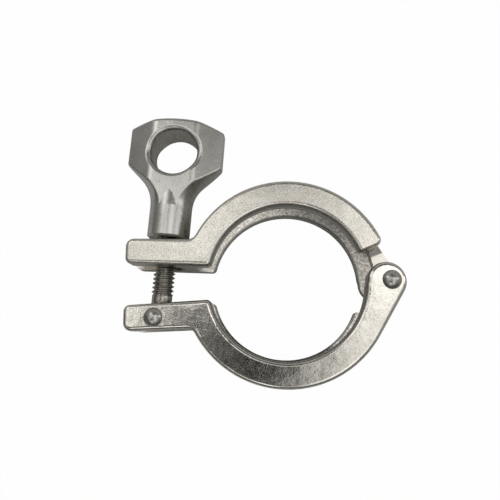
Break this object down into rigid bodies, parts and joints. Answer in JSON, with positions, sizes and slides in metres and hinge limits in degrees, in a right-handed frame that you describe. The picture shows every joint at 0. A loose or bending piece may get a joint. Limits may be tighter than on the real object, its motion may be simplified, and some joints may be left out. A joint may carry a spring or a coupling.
{
  "type": "sanitary hinged clamp",
  "caption": "Hinged two-arm clamp for a sanitary ferrule joint, closed by a swing bolt and an eye nut.",
  "frame": {"origin": "centre of the ferrule joint, on the tube axis, midway between the two lips", "axes": "+Z along the tube axis towards the face with the rivet heads, +X towards the hinge pin; the bolt stands on the -X side"},
  "size_m": [0.0804, 0.0799, 0.0189],
  "materials": {
    "cast_arm": "blasted cast stainless steel",
    "rivet": "satin stainless steel",
    "bolt": "rolled thread, stainless steel",
    "nut": "tumbled cast stainless steel"
  },
  "bodies": {
    "upper_arm": {"upper_arm": "cast_arm"},
    "lower_arm": {"lower_arm": "cast_arm", "hinge_pin": "rivet", "bolt_pin": "rivet"},
    "swing_bolt": {"swing_bolt": "bolt"},
    "wing_nut": {"wing_nut": "nut"}
  },
  "joints": [
    {"name": "arm_hinge", "type": "hinge", "parent": "upper_arm", "child": "lower_arm", "pos_m": [0.0287, 0, 0], "axis": [0, 0, 1], "range_deg": [-2, 11]},
    {"name": "bolt_swing", "type": "hinge", "parent": "lower_arm", "child": "swing_bolt", "pos_m": [-0.0369, -0.00935, 0], "axis": [0, 0, 1], "range_deg": [0, 100]},
    {"name": "nut_travel", "type": "slide", "parent": "swing_bolt", "child": "wing_nut", "axis": [0.0819, 0.9966, 0], "range_m": [-0.00244, 0.01344]}
  ],
  "couplings": [
    {"joint": "nut_travel", "follows": "arm_hinge", "m_per_rad": 0.07}
  ]
}
